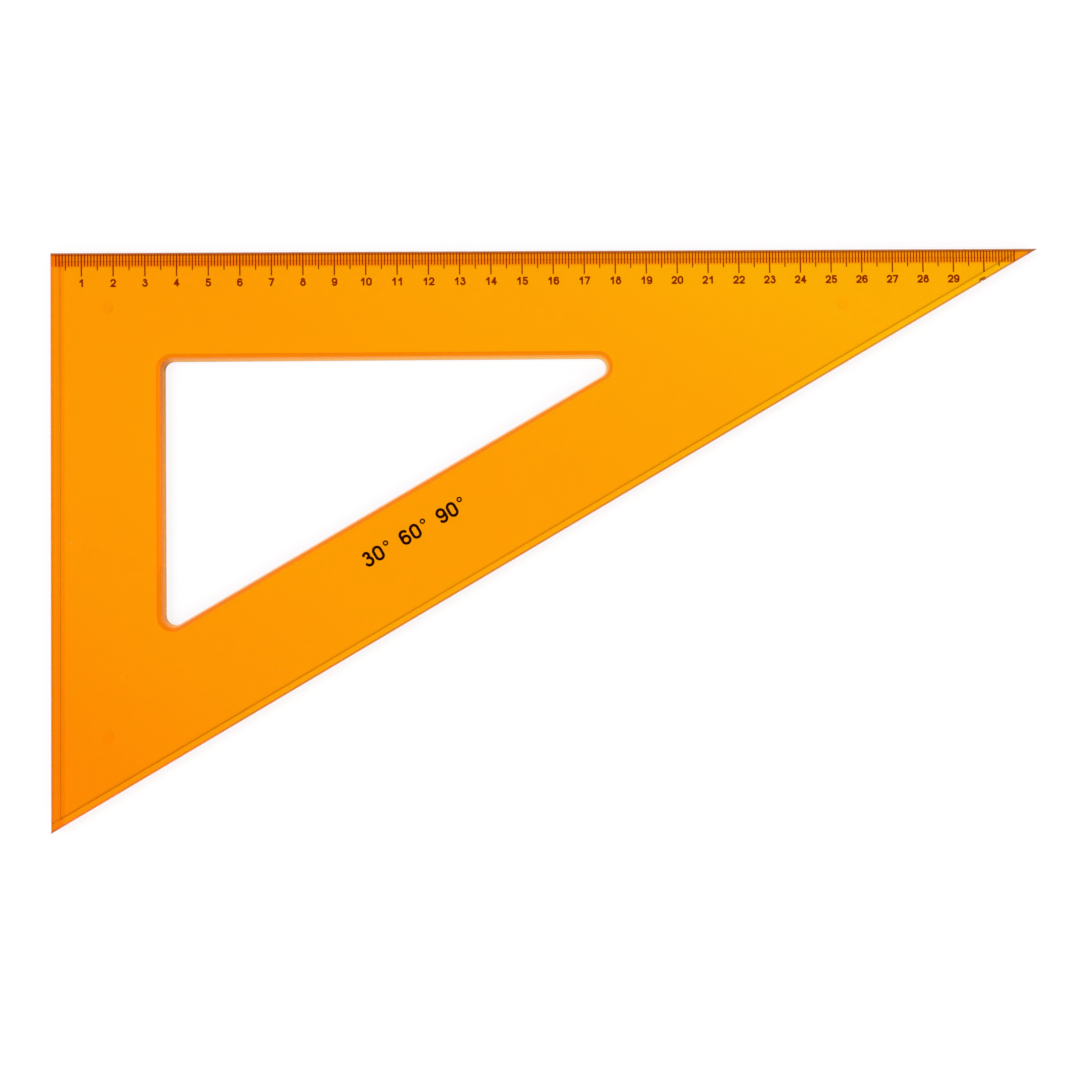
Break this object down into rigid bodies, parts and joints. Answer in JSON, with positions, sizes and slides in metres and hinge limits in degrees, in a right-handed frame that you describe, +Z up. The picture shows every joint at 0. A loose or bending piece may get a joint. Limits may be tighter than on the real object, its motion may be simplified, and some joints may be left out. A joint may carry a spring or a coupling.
{
  "type": "drafting set square",
  "caption": "Flat transparent right-triangle drafting square with a triangular cutout, raised ink edges and a printed centimetre scale along its long leg.",
  "frame": {"origin": "middle of the overall box, on the surface that the ink nubs rest on", "axes": "+X along the graduated long leg from the right angle to the thin tip, +Y towards the graduated edge, +Z up out of the printed face"},
  "size_m": [0.318, 0.1836, 0.0033],
  "materials": {
    "tinted_acrylic": "clear orange tint, polished",
    "scale_foil": "dark red-brown stamping foil",
    "figure_foil": "near-black stamping foil"
  },
  "bodies": {
    "root": {"plate": "tinted_acrylic", "millimetre_ticks": "scale_foil", "half_centimetre_ticks": "scale_foil", "centimetre_ticks": "scale_foil", "scale_numerals": "scale_foil", "angle_figures": "figure_foil"}
  },
  "joints": []
}
